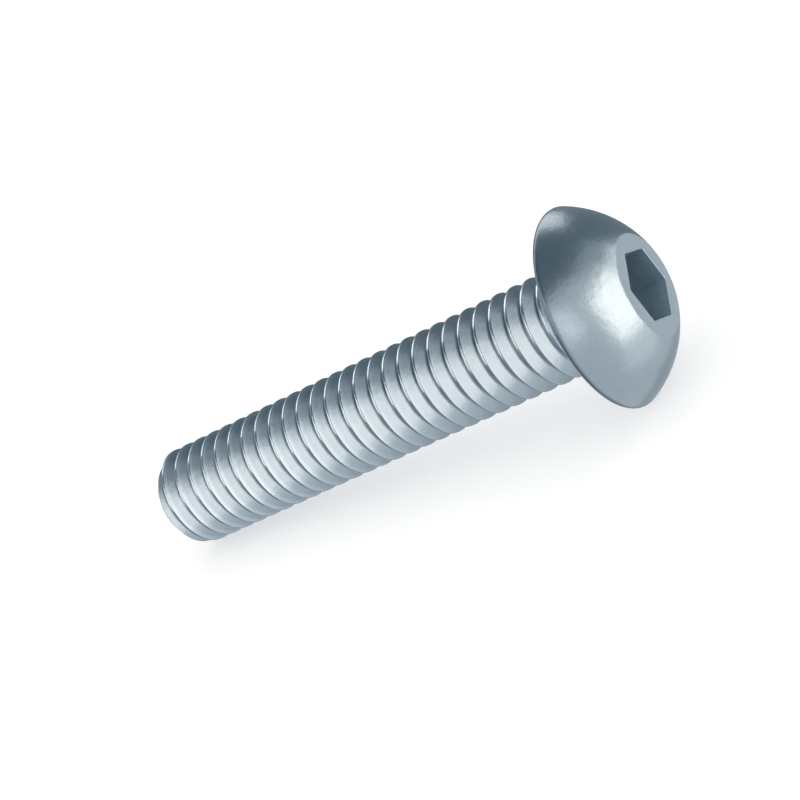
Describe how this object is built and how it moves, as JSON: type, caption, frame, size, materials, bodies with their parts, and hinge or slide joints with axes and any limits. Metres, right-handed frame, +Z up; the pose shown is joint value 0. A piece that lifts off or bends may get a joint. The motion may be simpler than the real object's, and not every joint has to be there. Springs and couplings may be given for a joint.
{
  "type": "button head socket screw",
  "caption": "Machine screw with a low domed head, a flat ring round a hexagonal key socket, and a straight shank threaded up to the head.",
  "frame": {"origin": "centre of the bounding box, at its lowest level, where the head rim and the shank end touch the floor", "axes": "+X along the screw from tip to head, +Z up; the axis rises 5.3 degrees towards the head, as the screw lies on its rim and its tip"},
  "size_m": [0.0224, 0.0076, 0.0076],
  "materials": {
    "zinc_steel": "bright zinc plating, smooth, blue-grey"
  },
  "bodies": {
    "root": {"screw": "zinc_steel"}
  },
  "joints": []
}
